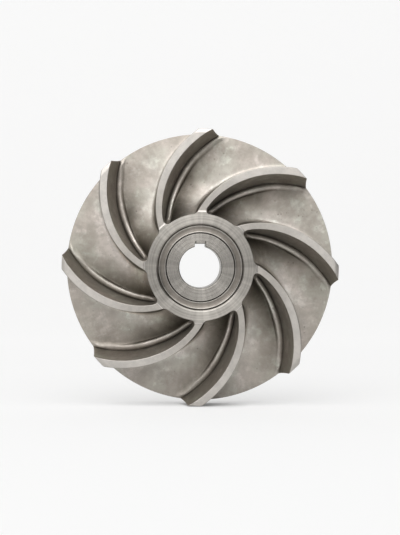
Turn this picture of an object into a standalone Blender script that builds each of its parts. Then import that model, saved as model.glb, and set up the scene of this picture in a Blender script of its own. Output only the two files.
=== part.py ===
"""Semi-open mixed-flow pump impeller: a cast body with eight swept vanes and a keyed bush in its hub.

The axis runs along Y. The suction side, with the open vanes, faces -Y, and the rear end of the hub
stands at y = 0. The keyway points up, along +Z. Lengths in the constants are in millimetres.
"""
import math

import bmesh
import bpy

MM = 0.001

# Hub and bore
HUB_LENGTH = 62.0
BORE_RADIUS = 19.0
KEYWAY_WIDTH = 10.0
KEYWAY_TOP_RADIUS = 21.4
BUSH_OUTER_RADIUS = 30.7
BUSH_SEAT_RADIUS = 31.0
BUSH_FACE_DEPTH = 1.8
BORE_CHAMFER = 0.6

# Turned steps in the front face of the hub, as (radius, depth below the hub face)
FACE_STEPS = [(39.8, 0.0), (38.75, 0.8), (38.5, 2.4), (37.6, 2.4), (37.3, 1.1), (36.4, 1.1), (35.8, 2.1),
              (32.7, 2.1), (32.2, 1.6)]
HUB_WALL_RADIUS = 48.2

# Shroud: the floor of the passages is bell-shaped, steep at the hub and nearly flat at the rim
RIM_RADIUS = 121.5
BELL_SPAN = 32.0
BELL_DROP = 25.5
FLOOR_SLOPE = 0.06
RIM_CHAMFER = 0.5
REAR_BOSS_RADIUS = 36.0
REAR_CHAMFER = 1.0
BACK_POINTS = [(121.5, 37.3), (98.0, 36.4), (82.0, 35.4), (71.0, 33.9), (62.0, 31.6), (54.0, 29.6), (47.0, 29.6)]
BACK_FILLET = 6.5

# Vanes
VANE_COUNT = 8
FACE_SETBACK = 1.2
TIP_RADIUS = 125.0
TIP_FOOT_RADIUS = 120.9
TIP_CUT_CURVE = 1.3
TIP_REFERENCE_RADIUS = 122.9
TIP_ANGLE = -0.95
INNER_BLADE_ANGLE = 59.25
OUTER_BLADE_ANGLE = 34.25
INNER_ANGLE_RADIUS = 53.8
OUTER_ANGLE_RADIUS = 124.0
ROOT_THICKNESS = 5.5
TIP_THICKNESS = 6.7
THICKENING_RADII = (56.0, 92.0)
HOLLOW_SIDE_LEAN = 14.5
LEAN_RADII = (52.0, 82.0)
ROOT_LEAN_SHARE = 0.6
FULL_SIDE_ROOT_LEAN = 9.0
FULL_SIDE_LEAN_RADII = (54.0, 78.0)
HOLLOW_SIDE_FILLET = (6.8, 5.2)
FULL_SIDE_FILLET = (2.5, 2.5)
PAD_RADIUS = 49.9
PAD_FOOT_RADIUS = 51.4
ROOT_DEPTH = 3.0

# Raised bead along the foot of each vane's hollow side. Its outline is given as (distance from the crest towards
# the floor, share of the height).
BEAD_START_RADIUS = 51.3
BEAD_NOSE = 3.7
BEAD_HEIGHT = 2.5
BEAD_OFFSET = 3.5
BEAD_OUTLINE = [(4.6, -0.05), (2.7, 0.4), (1.0, 0.95), (-1.1, 0.95), (-2.8, 0.45)]
BEAD_SLOPE = 4.0

ROUND_SEGMENTS = 64
STATION_RADII = [46.5, 48.4, PAD_RADIUS, PAD_FOOT_RADIUS, 52.4, 54.5, 58.5, 65.0, 73.0, 82.0, 92.0, 103.0, 114.0,
                 121.4, TIP_RADIUS]


def floor_depth(radius):
    """Depth of the passage floor below the plane of the vane faces."""
    run = max(0.0, radius - HUB_WALL_RADIUS)
    left = max(0.0, BELL_SPAN - run) / BELL_SPAN
    return FLOOR_SLOPE * run + BELL_DROP * math.sqrt(1.0 - left * left)


def blade_angle(radius):
    """Angle between the vane and the tangent at a radius, in radians."""
    share = (radius - INNER_ANGLE_RADIUS) / (OUTER_ANGLE_RADIUS - INNER_ANGLE_RADIUS)
    return math.radians(INNER_BLADE_ANGLE + share * (OUTER_BLADE_ANGLE - INNER_BLADE_ANGLE))


def sweep_angle(radius, steps=200):
    """Polar angle of the vane's middle line at a radius, in radians."""
    total = 0.0
    width = (TIP_REFERENCE_RADIUS - radius) / steps
    for step in range(steps):
        middle = radius + (step + 0.5) * width
        total += width / (math.tan(blade_angle(middle)) * middle)
    return math.radians(TIP_ANGLE) + total


def material(name, colour, roughness):
    surface = bpy.data.materials.new(name)
    surface.use_nodes = True
    shader = surface.node_tree.nodes["Principled BSDF"]
    shader.inputs["Base Color"].default_value = (*colour, 1.0)
    shader.inputs["Metallic"].default_value = 1.0
    shader.inputs["Roughness"].default_value = roughness
    return surface


def add_object(name, mesh_data, surface=None):
    mesh = bpy.data.meshes.new(name)
    bmesh.ops.recalc_face_normals(mesh_data, faces=mesh_data.faces[:])
    mesh_data.to_mesh(mesh)
    mesh_data.free()
    thing = bpy.data.objects.new(name, mesh)
    bpy.context.scene.collection.objects.link(thing)
    if surface:
        mesh.materials.append(surface)
    return thing


def shade_round(thing, angle=30.0):
    thing.data.shade_smooth()
    thing.data.set_sharp_from_angle(angle=math.radians(angle))


def turned_body(name, profile, surface=None):
    """Spins a closed outline of (radius, y) points once round the Y axis."""
    body = bmesh.new()
    points = [body.verts.new((radius * MM, y * MM, 0.0)) for radius, y in profile]
    edges = [body.edges.new((points[i], points[(i + 1) % len(points)])) for i in range(len(points))]
    bmesh.ops.spin(body, geom=points + edges, cent=(0, 0, 0), axis=(0, 1, 0), angle=math.tau,
                   steps=ROUND_SEGMENTS, use_merge=True)
    bmesh.ops.remove_doubles(body, verts=body.verts[:], dist=0.000001)
    return add_object(name, body, surface)


def combine(target, tool, operation):
    """Joins a closed tool body to the target, or cuts it away, and applies the result."""
    modifier = target.modifiers.new(tool.name, "BOOLEAN")
    modifier.operation = operation
    modifier.solver = "EXACT"
    modifier.object = tool
    graph = bpy.context.evaluated_depsgraph_get()
    result = bpy.data.meshes.new_from_object(target.evaluated_get(graph))
    target.modifiers.clear()
    target.data = result
    bpy.data.objects.remove(tool)


def casting_profile():
    """Half section of hub and shroud, without the vanes, as (radius, y) points."""
    hub_face = -HUB_LENGTH
    vane_plane = hub_face + FACE_SETBACK
    profile = [(BUSH_SEAT_RADIUS, hub_face + FACE_STEPS[-1][1])]
    profile += [(radius, hub_face + depth) for radius, depth in reversed(FACE_STEPS)]
    profile.append((HUB_WALL_RADIUS, hub_face))
    for run in (0.0, 0.3, 1.1, 2.6, 5.0, 8.5, 13.5, 21.0, 32.0, 50.0):
        radius = HUB_WALL_RADIUS + run
        profile.append((radius, vane_plane + floor_depth(radius)))
    rim_floor = vane_plane + floor_depth(RIM_RADIUS)
    rim_back = vane_plane + BACK_POINTS[0][1]
    profile.append((RIM_RADIUS - RIM_CHAMFER, rim_floor))
    profile.append((RIM_RADIUS, rim_floor + RIM_CHAMFER))
    profile.append((RIM_RADIUS, rim_back - RIM_CHAMFER))
    profile.append((RIM_RADIUS - RIM_CHAMFER, rim_back))
    profile += [(radius, vane_plane + depth) for radius, depth in BACK_POINTS[1:]]
    centre = (REAR_BOSS_RADIUS + BACK_FILLET, vane_plane + BACK_POINTS[-1][1] + BACK_FILLET)
    for step in range(5):
        turn = math.radians(-90.0 - 22.5 * step)
        profile.append((centre[0] + BACK_FILLET * math.cos(turn), centre[1] + BACK_FILLET * math.sin(turn)))
    profile += [(REAR_BOSS_RADIUS, -REAR_CHAMFER), (REAR_BOSS_RADIUS - REAR_CHAMFER, 0.0), (BUSH_SEAT_RADIUS, 0.0)]
    return profile


def half_thickness(radius):
    start, end = THICKENING_RADII
    grown = min(1.0, max(0.0, (radius - start) / (end - start)))
    return 0.5 * (ROOT_THICKNESS + (TIP_THICKNESS - ROOT_THICKNESS) * grown * grown * (3.0 - 2.0 * grown))


def lean_share(radius):
    """Share of the full lean that the sides of a vane have at a radius. They stand steeper at the hub."""
    start, end = LEAN_RADII
    return ROOT_LEAN_SHARE + (1.0 - ROOT_LEAN_SHARE) * min(1.0, max(0.0, (radius - start) / (end - start))) ** 0.8


def full_side_slope(radius):
    """How much the full side widens with depth. It stands upright away from the hub."""
    start, end = FULL_SIDE_LEAN_RADII
    return math.tan(math.radians(FULL_SIDE_ROOT_LEAN)) * (1.0 - min(1.0, max(0.0, (radius - start) / (end - start))))


def vane_section(station):
    """Outline of vane and bead at one station, as (radius, angle, depth) points."""
    start, reach = STATION_RADII[0], TIP_RADIUS - STATION_RADII[0]
    share = (station - start) / reach

    def place(level, offset, depth=None):
        end = TIP_FOOT_RADIUS + (TIP_RADIUS - TIP_FOOT_RADIUS) * (1.0 - level) ** TIP_CUT_CURVE
        radius = start + share * (end - start)
        angle = sweep_angle(radius) + offset(radius) / (radius * math.sin(blade_angle(radius)))
        deep = depth(radius) if depth else level * floor_depth(radius)
        return radius, angle, deep

    def flare(radius, fillet):
        span, rise = fillet
        left = min(1.0, max(0.0, 1.0 - (radius - HUB_WALL_RADIUS) / span))
        return rise * (1.0 - math.sqrt(1.0 - left ** 2))

    def hollow(level, flared=True):
        slope = math.tan(math.radians(HOLLOW_SIDE_LEAN))
        return lambda radius: -(half_thickness(radius) + slope * lean_share(radius) * level * floor_depth(radius)
                                + (flare(radius, HOLLOW_SIDE_FILLET) if flared else 0.0))

    def full(level):
        return lambda radius: (half_thickness(radius) + full_side_slope(radius) * level * floor_depth(radius)
                               + flare(radius, FULL_SIDE_FILLET))

    def bead_nose(radius):
        grown = (radius - BEAD_START_RADIUS) / BEAD_NOSE
        return math.sqrt(1.0 - (1.0 - min(1.0, grown)) ** 2) if grown > 0.0 else 0.0

    def bead(side, rise):
        def offset(radius):
            return hollow(1.0, False)(radius) - BEAD_OFFSET - side * max(0.4, bead_nose(radius))

        def depth(radius):
            size = bead_nose(radius) * min(1.0, max(0.0, (RIM_RADIUS - radius) / BEAD_SLOPE))
            return floor_depth(radius) - BEAD_HEIGHT * rise * size + (0.6 if size == 0.0 else 0.0)
        return place(1.0, offset, depth)

    def face(radius):
        return -FACE_SETBACK if station <= PAD_RADIUS else 0.0

    def below(radius):
        return floor_depth(radius) + ROOT_DEPTH

    def bead_foot(radius):
        return hollow(1.0, False)(radius) - BEAD_OFFSET - BEAD_OUTLINE[0][0]

    return ([place(0.0, hollow(0.0), face), place(0.0, full(0.0), face)]
            + [place(0.5, full(0.5)), place(1.0, full(1.0)), place(1.0, full(1.1), below)]
            + [place(1.0, bead_foot, below)]
            + [bead(side, rise) for side, rise in BEAD_OUTLINE]
            + [place(1.0, hollow(1.0)), place(0.5, hollow(0.5))])


def vane_bodies(name):
    """All vanes, each a closed loft through its stations that reaches into hub and shroud."""
    vane_plane = -HUB_LENGTH + FACE_SETBACK
    body = bmesh.new()
    sections = [vane_section(station) for station in STATION_RADII]
    for vane in range(VANE_COUNT):
        turn = math.tau * vane / VANE_COUNT
        rings = []
        for section in sections:
            rings.append([body.verts.new((radius * math.cos(angle + turn) * MM, (vane_plane + depth) * MM,
                                          radius * math.sin(angle + turn) * MM))
                          for radius, angle, depth in section])
        count = len(rings[0])
        for inner, outer in zip(rings, rings[1:]):
            for i in range(count):
                j = (i + 1) % count
                body.faces.new((inner[i], inner[j], outer[j], outer[i]))
        ends = [body.faces.new(rings[0]), body.faces.new(reversed(rings[-1]))]
        bmesh.ops.triangulate(body, faces=ends)
    return add_object(name, body)


def bush_profile():
    front = -HUB_LENGTH + BUSH_FACE_DEPTH
    edge = 0.4
    return [(BORE_RADIUS, front + BORE_CHAMFER), (BORE_RADIUS + BORE_CHAMFER, front),
            (BUSH_OUTER_RADIUS - edge, front), (BUSH_OUTER_RADIUS, front + edge),
            (BUSH_OUTER_RADIUS, -edge), (BUSH_OUTER_RADIUS - edge, 0.0),
            (BORE_RADIUS + BORE_CHAMFER, 0.0), (BORE_RADIUS, -BORE_CHAMFER)]


def keyway_cutter():
    body = bmesh.new()
    bmesh.ops.create_cube(body, size=1.0)
    deep = HUB_LENGTH + 10.0
    for vert in body.verts:
        vert.co.x *= KEYWAY_WIDTH * MM
        vert.co.y = (vert.co.y * deep - HUB_LENGTH / 2.0) * MM
        vert.co.z = (vert.co.z + 0.5) * KEYWAY_TOP_RADIUS * MM
    return add_object("keyway_cutter", body)


def main():
    for thing in list(bpy.data.objects):
        bpy.data.objects.remove(thing)
    cast_steel = material("cast_stainless", (0.56, 0.53, 0.49), 0.42)
    turned_steel = material("turned_steel", (0.62, 0.61, 0.59), 0.28)

    casting = turned_body("impeller_casting", casting_profile(), cast_steel)
    combine(casting, vane_bodies("vanes"), "UNION")
    shade_round(casting)

    bush = turned_body("keyed_bush", bush_profile(), turned_steel)
    combine(bush, keyway_cutter(), "DIFFERENCE")
    shade_round(bush)


main()
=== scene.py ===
# %% [markdown]
# # A pump impeller
#
# This lesson dresses the solids of a semi-open pump impeller for a studio picture. The part is a stainless
# casting: a hub, a bell-shaped shroud behind it and eight swept vanes in front. A turned bush with a keyway
# sits in the hub. The solids give the right shape but have few facets and plain colours, so two finer
# meshes stand in for them here, with a finish for each way that the metal was worked.
#
# The first cell loads the solids. They set the size: whatever is added stays inside their box.

# %% Load the solids
import math

import bmesh
import bpy
import numpy as np
from mathutils import Matrix, Vector


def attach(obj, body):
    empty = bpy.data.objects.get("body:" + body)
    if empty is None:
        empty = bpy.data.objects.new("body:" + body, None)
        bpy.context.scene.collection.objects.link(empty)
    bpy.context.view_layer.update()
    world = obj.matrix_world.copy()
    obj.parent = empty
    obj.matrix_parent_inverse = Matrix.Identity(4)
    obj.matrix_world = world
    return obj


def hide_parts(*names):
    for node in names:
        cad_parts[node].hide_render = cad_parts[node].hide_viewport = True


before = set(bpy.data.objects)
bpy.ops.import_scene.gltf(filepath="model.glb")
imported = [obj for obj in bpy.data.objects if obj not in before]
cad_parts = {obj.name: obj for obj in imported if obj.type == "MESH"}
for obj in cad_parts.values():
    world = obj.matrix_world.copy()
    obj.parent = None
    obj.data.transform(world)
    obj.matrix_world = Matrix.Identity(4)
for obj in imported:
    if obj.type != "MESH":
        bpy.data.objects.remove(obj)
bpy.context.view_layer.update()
print("solids:", sorted(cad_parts))

# %% [markdown]
# ## The lines of the casting
#
# Everything is measured in millimetres from the axis, which runs along Y. A point is given by its radius,
# its angle round the axis and its depth behind the plane of the vane faces. The floor of a passage could be
# drawn as a free curve, but a quarter of an ellipse that runs out into a gentle cone has only three numbers
# and comes off the hub upright, as the real one does.

# %% Floor of the passages
HUB_RADIUS, RIM_RADIUS = 48.2, 121.5
BELL_SPAN, BELL_DROP, FLOOR_SLOPE = 32.0, 25.5, 0.06


def floor_depth(radius):
    run = max(0.0, radius - HUB_RADIUS)
    left = max(0.0, BELL_SPAN - run) / BELL_SPAN
    return FLOOR_SLOPE * run + BELL_DROP * math.sqrt(1.0 - left * left)


middle_radius = (HUB_RADIUS + RIM_RADIUS) / 2.0
print("depth of the floor at hub, middle and rim:",
      [round(floor_depth(radius), 1) for radius in (HUB_RADIUS, middle_radius, RIM_RADIUS)])

# %% [markdown]
# A vane follows a line that makes a steep angle with the circle at the hub and a flatter one at the rim.
# The line could be an arc, but the angle of a real vane changes evenly along it, so the angle is what is
# stated and the line is added up from it in small steps, from the rim inwards.

# %% Sweep of the vanes
INNER_RADIUS, INNER_ANGLE = 53.8, 59.25
OUTER_RADIUS, OUTER_ANGLE = 124.0, 34.25
TIP_ANGLE, TIP_REFERENCE_RADIUS = -0.95, 122.9
SWEEP_STEP = 0.1


def blade_angle(radius):
    """Angle between the vane and the circle round the axis."""
    share = (radius - INNER_RADIUS) / (OUTER_RADIUS - INNER_RADIUS)
    return math.radians(INNER_ANGLE + share * (OUTER_ANGLE - INNER_ANGLE))


sweep_radii = np.arange(44.0, 130.0, SWEEP_STEP)
middles = [radius + SWEEP_STEP / 2.0 for radius in sweep_radii]
sweep_steps = [SWEEP_STEP / (math.tan(blade_angle(middle)) * middle) for middle in middles]
sweep_sums = -np.cumsum([0.0] + sweep_steps[:-1])
sweep_sums += math.radians(TIP_ANGLE) - np.interp(TIP_REFERENCE_RADIUS, sweep_radii, sweep_sums)


def sweep_angle(radius):
    """Angle round the axis at which the middle line of vane 0 passes the radius."""
    return float(np.interp(radius, sweep_radii, sweep_sums))


wrap = math.degrees(sweep_angle(HUB_RADIUS) - sweep_angle(OUTER_RADIUS))
print("the vane wraps", round(wrap, 1), "degrees round the axis")

# %% [markdown]
# ## One row across vane and passage
#
# The casting is woven as one net. A row is a walk round the part at one radius: over a vane face, down its
# full side, across the floor, over the bead and up the hollow side of the next vane. Every row has the same
# number of points, so neighbouring rows join into clean four-sided faces and each fillet keeps its own
# lines. Joining separate solids would give the same outline but no roundings, and roundings are what catch
# light.
#
# The section of a vane comes first. The hollow side leans over the passage, the full side is upright except
# near the hub. Both flare out where they meet the hub, and the face climbs a short slope to the hub's own
# face.

# %% Section of a vane
HUB_FACE_DEPTH = -1.2
HOLLOW_LEAN, FULL_ROOT_LEAN = math.tan(math.radians(14.5)), math.tan(math.radians(9.0))
INNER_WIDTH, WIDTH_GAIN = 5.5, 1.2
HOLLOW_FLARE, FULL_FLARE = (6.8, 5.2), (2.5, 2.5)
PAD_RADIUS, PAD_FOOT_RADIUS = 49.9, 51.4
TIP_SLOPE_RADIUS, TIP_SLOPE = 118.5, 0.3


def limited(value):
    """The value kept between 0 and 1."""
    return min(1.0, max(0.0, value))


def blend(low, high, value):
    """Runs softly from 0 to 1 while the value goes from low to high."""
    share = limited((value - low) / (high - low))
    return share * share * (3.0 - 2.0 * share)


def flare(radius, span, rise):
    """How much a wall stands out further where it runs into the hub, as a quarter of an ellipse."""
    left = limited(1.0 - (radius - HUB_RADIUS) / span)
    return rise * (1.0 - math.sqrt(1.0 - left ** 2))


def vane_sides(radius):
    """Face depth, floor depth, half width and the two walls, as functions from depth to offset."""
    half = 0.5 * (INNER_WIDTH + WIDTH_GAIN * blend(56.0, 92.0, radius))
    lean = 0.6 + 0.4 * limited((radius - 52.0) / 30.0) ** 0.8 - 0.12 * blend(106.0, 122.0, radius)
    draft = FULL_ROOT_LEAN * (1.0 - limited((radius - 54.0) / 24.0))
    hollow = half + flare(radius, *HOLLOW_FLARE)
    full = half + flare(radius, *FULL_FLARE)
    face = HUB_FACE_DEPTH * limited((PAD_FOOT_RADIUS - radius) / (PAD_FOOT_RADIUS - PAD_RADIUS))
    face += TIP_SLOPE * max(0.0, radius - TIP_SLOPE_RADIUS)
    return (face, floor_depth(radius), half,
            lambda depth: -(hollow + HOLLOW_LEAN * lean * max(0.0, depth)),
            lambda depth: full + draft * max(0.0, depth))


print("width of the vane faces at hub and rim:",
      [round(2.0 * vane_sides(radius)[2], 1) for radius in (HUB_RADIUS, RIM_RADIUS)])

# %% [markdown]
# The bead is a rounded rib that runs along the foot of the hollow side, with a narrow groove between it and
# the wall. It begins in a blunt nose near the hub. There it is steep on both sides, and towards the rim it
# gets lower and softer and comes closer to the wall, until a short slope ends it. A list gives the steep
# shape and a cosine the soft one, and each row mixes the two by its radius.

# %% Section of the bead
BEAD_GAP, BEAD_ROUND, BEAD_HEIGHT = 3.3, 2.8, 2.7
SOFT_WIDTH, SOFT_HEIGHT = 4.0, 1.5
GROOVE_RISE = 0.4
NOSE_RADIUS, NOSE_LENGTH, END_LENGTH = 51.3, 3.4, 4.0
BEAD_SHAPE = [(1.4, 0.0), (1.22, 0.05), (1.09, 0.17), (0.98, 0.34)]
BEAD_SHAPE += [(math.sin(math.radians(turn)), 1.06 * math.cos(math.radians(turn)) - 0.06)
               for turn in (60, 48, 36, 22, 8)]
SOFT_SHARES = (1.0, 0.82, 0.68, 0.55, 0.44, 0.335, 0.235, 0.14, 0.05)


def bead_inner(radius):
    """How far the crest stands from the wall's foot."""
    near = BEAD_GAP * (0.75 + 0.25 * blend(52.0, 76.0, radius))
    return near - 0.35 * blend(88.0, 98.0, radius) - 1.6 * blend(106.0, 117.0, radius)


def bead_crest(radius):
    """Offset of the crest from the middle line of the vane."""
    _, deep, half, hollow, _ = vane_sides(radius)
    return hollow(deep) - (hollow(0.0) + half) - bead_inner(radius) - 0.2


def bead_points(radius, deep, hollow):
    """Bead from its floor side to the wall, as (offset, depth) points."""
    nose = limited((radius - NOSE_RADIUS) / NOSE_LENGTH)
    bluntness = math.sqrt(1.0 - (1.0 - nose) ** 2)
    size = bluntness * limited((RIM_RADIUS - radius) / END_LENGTH)
    inner, crest = bead_inner(radius), bead_crest(radius)
    far_out = blend(86.0, 106.0, radius)
    spread = BEAD_ROUND * max(0.5, bluntness) * (0.85 + 0.15 * blend(52.0, 76.0, radius))
    height = BEAD_HEIGHT - (BEAD_HEIGHT - SOFT_HEIGHT) * far_out
    points = []
    for (share, rise), soft_share in zip(BEAD_SHAPE, SOFT_SHARES):
        soft_rise = 0.5 + 0.5 * math.cos(math.pi * soft_share)
        reach = spread * share + (SOFT_WIDTH * soft_share - spread * share) * far_out
        points.append((crest - reach, deep - size * height * (rise + (soft_rise - rise) * far_out)))
    groove = deep - GROOVE_RISE * size
    for turn in (100, 116, 132, 148):
        turn = math.radians(turn)
        depth = groove - (height - GROOVE_RISE) * size * math.sin(turn)
        points.append((crest - inner * math.cos(turn), depth))
    foot = hollow(groove)
    least_gaps = [0.06 * (len(points) - i) for i in range(len(points))]
    points = [(min(offset, foot - gap), depth) for (offset, depth), gap in zip(points, least_gaps)]
    return points + [(foot, groove)]


print("height of the bead at the hub and near the rim:", BEAD_HEIGHT, SOFT_HEIGHT)

# %% [markdown]
# A row is then put together from the face, the rounded edge, the full wall with the fillet at its foot, the
# floor, the bead and the hollow wall. The edge of the hollow side stays crisp, the other one gets a little
# softer towards the rim.

# %% Points of one row
VANES = 8
SECTOR = math.tau / VANES
FACE_SHARES = (0.0, 0.03, 0.5, 0.97, 1.0)
WALL_SHARES = (0.03, 0.25, 0.5, 0.75, 0.97, 1.0)
EDGE_ROUND, ROOT_FILLET = 0.3, 3.0
FLOOR_STEPS = 15


def radian_width(radius):
    """Length square to the vane that one radian round the axis makes."""
    return radius * math.sin(blade_angle(radius))


def wall_points(vane, wall, start, end):
    """Points down or up a wall between two depths."""
    depths = [start + (end - start) * share for share in WALL_SHARES]
    return [(vane, wall(depth), depth, "wall") for depth in depths]


def row_points(radius):
    """Vane 0, the floor and the near side of vane 1, as (vane, offset, depth, kind) points."""
    face, deep, _, hollow, full = vane_sides(radius)
    height = deep - face
    soft = min(EDGE_ROUND + 0.2 * blend(85.0, 108.0, radius), 0.3 * height)
    crisp = min(EDGE_ROUND, 0.3 * height)
    left, right = hollow(face + crisp) + crisp, full(face + soft) - soft
    points = [(0, left + (right - left) * share, face, "face") for share in FACE_SHARES]
    for turn in (60, 30, 0):
        turn = math.radians(turn)
        points.append((0, right + soft * math.cos(turn), face + soft - soft * math.sin(turn), "edge"))
    fillet = min(ROOT_FILLET, 0.35 * max(0.0, deep))
    foot = deep - fillet
    points += wall_points(0, full, face + soft, foot)
    for turn in (22, 44, 66, 90):
        turn = math.radians(turn)
        offset = full(foot) + fillet * (1.0 - math.cos(turn))
        points.append((0, offset, deep - fillet * (1.0 - math.sin(turn)), "floor"))
    beads = bead_points(radius, deep, hollow)
    width = radian_width(radius)
    near, far = points[-1][1] / width, beads[0][0] / width + SECTOR
    points += [(0, (near + (far - near) * i / FLOOR_STEPS) * width, deep, "floor")
               for i in range(1, FLOOR_STEPS)]
    points += [(1, offset, depth, "floor") for offset, depth in beads]
    points += wall_points(1, hollow, beads[-1][1], face + crisp)
    for turn in (30, 60):
        turn = math.radians(turn)
        points.append((1, left - crisp * math.cos(turn), face + crisp - crisp * math.sin(turn), "edge"))
    return points


columns = len(row_points(100.0))
print("points in a row:", columns, "for each of", VANES, "vanes")

# %% [markdown]
# ## The rows of the front
#
# Towards the rim the vanes reach past the shroud, most at their faces. So each point moves outwards by an
# amount that fades with its depth, and the walls end in the slanted, slightly hollow cut of the real tips.

# %% Rows from hub to rim
TIP_REACH, TIP_HOLLOW = 3.45, 1.3
REACH_START = 80.0


def place(radius, vane, offset, depth):
    """Turns a row point into (radius, angle, depth)."""
    return radius, sweep_angle(radius) + vane * SECTOR + offset / radian_width(radius), depth


def place_in_reach(radius, vane, offset, depth):
    """As place, but moved outwards near the rim, most at the face."""
    if radius > REACH_START:
        share = limited(depth / floor_depth(radius))
        grown = ((radius - REACH_START) / (RIM_RADIUS - REACH_START)) ** 2
        radius += TIP_REACH * (1.0 - share) ** TIP_HOLLOW * grown
    return place(radius, vane, offset, depth)


bell_turns = [3.1, 6.2, 9.4, 12.5, 15.6, 18.76, 22.3, 25.84, 27.5] + list(range(30, 91, 5))
front_radii = [HUB_RADIUS]
front_radii += [HUB_RADIUS + BELL_SPAN * (1.0 - math.cos(math.radians(turn))) for turn in bell_turns]
front_radii += [float(radius) for radius in np.linspace(front_radii[-1], 117.0, 20)[1:]]
front_radii += [117.6, 118.3, 119.2, 120.1, 120.8, 121.15]
kinds = [point[3] for point in row_points(100.0)]
front_rows = [[place_in_reach(radius, *point[:3]) for point in row_points(radius)]
              for radius in front_radii]
print("rows on the front:", len(front_rows))

# %% [markdown]
# This is painted shade and light. The floor of a passage is painted darkest beside the bead and lighter
# steadily up to the next vane, most of all near the hub, and the crest of the bead gets a painted highlight.
# The walls and the full side near the hub get painted shade, the rounded full edge is painted darker to dim
# its highlight, the slopes up to the hub get a painted reflection, and the vane faces get a little lighter
# towards the rim. No lamp here gives that, because it is the same on all sides of the hub. It could be
# painted on an image, but the net has points wherever it changes, so each point carries its painted shade
# and light instead, and the finishes scale their colour by it.

# %% Painted shade and light of each point
PAINTED_LIGHT_RADII = (56.0, 68.0, 82.0, 92.0, 98.0, 110.0, 121.0)
# Painted shade beside the bead, painted light beside the next vane, a painted highlight on the crest and
# painted shade on the walls, each given by radius.
SHADE_BESIDE_BEAD = (0.18, 0.28, 0.27, 0.45, 0.58, 0.68, 0.86)
LIGHT_BESIDE_VANE = (1.5, 1.75, 1.55, 1.38, 1.27, 1.16, 1.05)
HIGHLIGHT_ON_CREST = (1.4, 1.5, 1.15, 1.0, 0.98, 0.95, 1.0)
SHADE_ON_WALL = (0.68, 0.78, 0.87, 0.9, 0.88, 0.81, 0.74)
# Painted shade on the rounded full edge, which dims its highlight, and a painted reflection on the slopes up
# to the hub.
FULL_EDGE_SHADE, PAD_SLOPE_REFLECTION = 0.7, 1.45
GROOVE_START, GROOVE_END = 0.9, 2.6
FLANK_START, FLANK_END = 1.1, 3.2


def row_tones(radius):
    """Painted shade and light of each point of a row, told by its distance from the crest of the bead."""
    low, high, top, wall = (float(np.interp(radius, PAINTED_LIGHT_RADII, tones))
                            for tones in (SHADE_BESIDE_BEAD, LIGHT_BESIDE_VANE, HIGHLIGHT_ON_CREST, SHADE_ON_WALL))
    steepness = 1.35 - 0.55 * blend(70.0, 95.0, radius) - 0.25 * blend(102.0, 116.0, radius)
    # Painted shade on the full side near the hub: on its wall and on the floor beside it.
    shaded = 0.42 * (1.0 - blend(72.0, 92.0, radius))
    crest, pitch_width = bead_crest(radius), SECTOR * radian_width(radius)
    full = vane_sides(radius)[-1]
    width = pitch_width + crest - full(0.0)
    tones = []
    for vane, offset, _, kind in row_points(radius):
        away = (1 - vane) * pitch_width + crest - offset
        if kind == "wall":
            tones.append(wall * (1.0 - shaded * (1 - vane)))
        elif kind == "edge" and vane == 0:
            tones.append(FULL_EDGE_SHADE)
        elif kind != "floor":
            on_pad_slope = PAD_RADIUS - 0.1 < radius < PAD_FOOT_RADIUS - 0.1
            tones.append(PAD_SLOPE_REFLECTION if on_pad_slope else 0.89 + 0.22 * blend(64.0, 102.0, radius))
        elif away < 0.0:
            tones.append(wall + (top - wall) * (1.0 - blend(GROOVE_START, GROOVE_END, -away)))
        elif away < FLANK_END:
            tones.append(top + (low - top) * blend(FLANK_START, FLANK_END, away))
        else:
            share = limited((away - 3.5) / (width - 5.0)) ** steepness
            tones.append((low + (high - low) * share) * (1.0 - shaded * blend(width - 2.2, width, away)))
    return tones


front_tones = [row_tones(radius) for radius in front_radii]
print("tones beside bead and vane at radius", PAINTED_LIGHT_RADII[2], "mm:", SHADE_BESIDE_BEAD[2], LIGHT_BESIDE_VANE[2])

# %% [markdown]
# The end of each vane is closed by walking its points down the cut face to the foot, while the points of
# the floor round off into the rim. After that walk the whole row lies on the rim's cylinder.

# %% Ends of the vanes
RIM_ROUND = 0.45
END_HALF_SPAN = 0.99
_, deep_end, _, hollow_end, full_end = vane_sides(RIM_RADIUS)
last_points = row_points(front_radii[-1])
first_wall = max(i for i, kind in enumerate(kinds) if kind == "floor") + 1
on_vane = list(range(first_wall, columns)) + [i for i in range(first_wall) if kinds[i] != "floor"]


def end_point(i, step):
    """Point of a vane column on the cut face, walked down by the step."""
    vane, offset, depth, _ = last_points[i]
    share = limited(depth / deep_end)
    low, high = hollow_end(share * deep_end), full_end(share * deep_end)
    side = (2.0 * offset - low - high) / (high - low)
    goal = -END_HALF_SPAN + 2.0 * END_HALF_SPAN * on_vane.index(i) / (len(on_vane) - 1)
    share += (1.0 - share) * step
    side += (goal - side) * step
    low, high = hollow_end(share * deep_end), full_end(share * deep_end)
    radius = RIM_RADIUS + TIP_REACH * (1.0 - share) ** TIP_HOLLOW
    depth = share * deep_end + RIM_ROUND * (step == 1.0)
    return place(radius, vane, (low + high + side * (high - low)) / 2.0, depth)


def rim_point(i, step):
    """Point of a floor column on the rounding of the rim, which follows the sweep of the vanes."""
    start, angle, depth = front_rows[-1][i]
    turn = math.radians(90.0 * step)
    radius = start + (RIM_RADIUS - start) * math.sin(turn)
    angle += sweep_angle(radius) - sweep_angle(start)
    return radius, angle, depth + (deep_end + RIM_ROUND - depth) * (1.0 - math.cos(turn))


end_rows = [[end_point(i, step) if i in on_vane else rim_point(i, step) for i in range(columns)]
            for step in (0.03, 0.1, 0.22, 0.4, 0.6, 0.8, 0.93, 1.0)]
print("columns that close a vane end:", len(on_vane))

# %% [markdown]
# ## The turned parts of the hub and the back
#
# The rest of the casting is round, so one outline of radius and depth is enough. The front of the hub has a
# groove, a low ridge, a sunk ring and a thin lip round the bush. The back of the shroud doesn't show in the
# picture, so it is a plain sweep from rim to boss. A few points give that sweep, and taking the mean of
# neighbours six times rounds it.

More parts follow.
